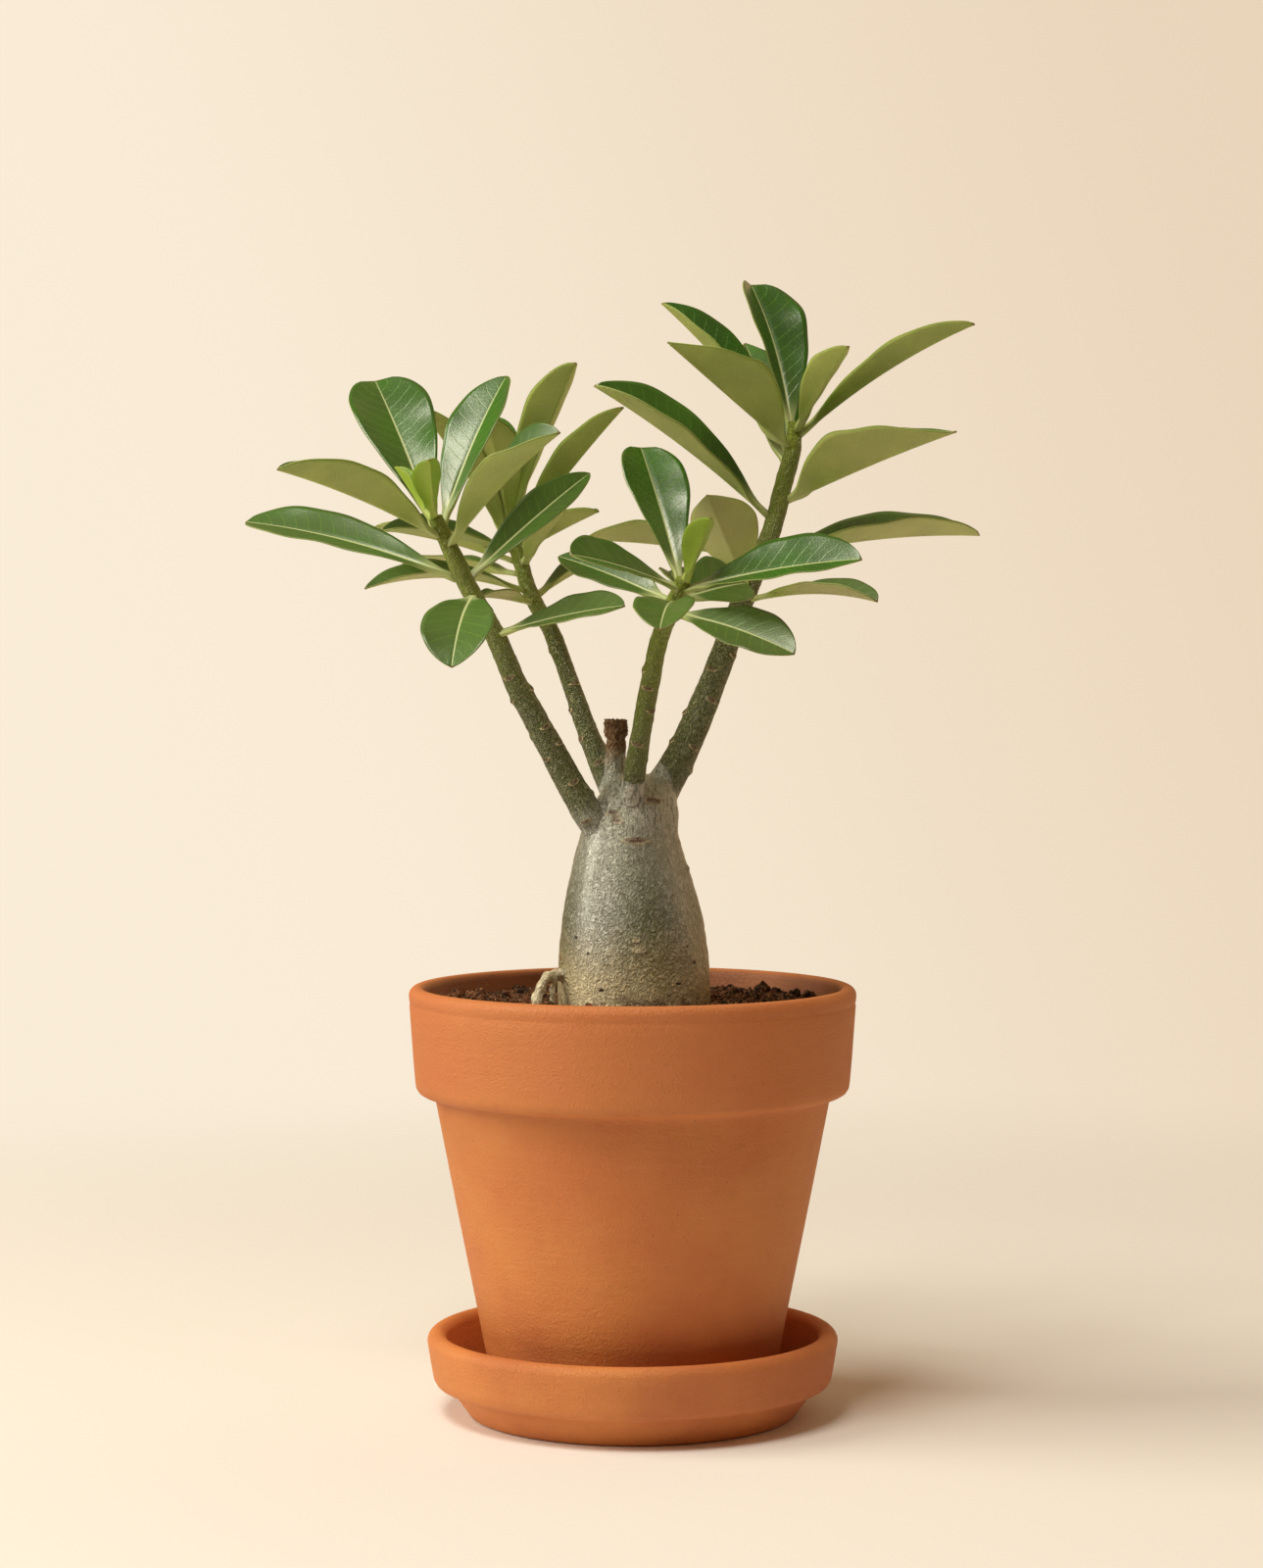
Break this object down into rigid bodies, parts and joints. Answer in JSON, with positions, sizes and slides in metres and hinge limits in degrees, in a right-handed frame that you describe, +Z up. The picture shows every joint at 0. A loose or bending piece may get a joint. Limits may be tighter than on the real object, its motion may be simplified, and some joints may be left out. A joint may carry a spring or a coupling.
{
  "type": "potted desert rose plant",
  "caption": "Young desert rose with a swollen base, looping root, upright branches and folded oval leaves, in soil in a tapered terracotta pot that stands on a round saucer",
  "frame": {"origin": "centre of the saucer's underside, on the plane the saucer rests on", "axes": "+Z up, +X to the right and -Y to the front, where the smaller branch and the looping root are"},
  "size_m": [0.2498, 0.1746, 0.3831],
  "materials": {
    "terracotta": "matte unglazed fired clay",
    "soil": "dark crumbly potting mix with bits of bark",
    "bark": "grey-green finely wrinkled living bark",
    "leaf": "leathery, glossy above and matte olive below",
    "young_leaf": "soft yellow-green with a slight gloss"
  },
  "bodies": {
    "root": {"saucer": "terracotta", "pot": "terracotta", "soil": "soil", "trunk": "bark", "left_leaf_01": "young_leaf", "left_leaf_02": "young_leaf", "left_leaf_03": "leaf", "left_leaf_04": "leaf", "left_leaf_05": "leaf", "left_leaf_06": "leaf", "left_leaf_07": "leaf", "left_leaf_08": "leaf", "left_leaf_09": "leaf", "left_leaf_10": "leaf", "back_leaf_01": "young_leaf", "back_leaf_02": "leaf", "back_leaf_03": "leaf", "back_leaf_04": "leaf", "back_leaf_05": "leaf", "back_leaf_06": "leaf", "back_leaf_07": "leaf", "back_leaf_08": "leaf", "back_leaf_09": "leaf", "back_leaf_10": "leaf", "back_leaf_11": "leaf", "back_leaf_12": "leaf", "back_leaf_13": "leaf", "back_leaf_14": "leaf", "front_leaf_01": "young_leaf", "front_leaf_02": "leaf", "front_leaf_03": "leaf", "front_leaf_04": "leaf", "front_leaf_05": "leaf", "front_leaf_06": "leaf", "front_leaf_07": "leaf", "front_leaf_08": "leaf", "front_leaf_09": "leaf", "right_leaf_01": "leaf", "right_leaf_02": "leaf", "right_leaf_03": "leaf", "right_leaf_04": "leaf", "right_leaf_05": "leaf", "right_leaf_06": "leaf", "right_leaf_07": "leaf", "right_leaf_08": "leaf", "right_leaf_09": "leaf", "right_leaf_10": "leaf", "right_leaf_11": "leaf", "right_leaf_12": "leaf"}
  },
  "joints": []
}
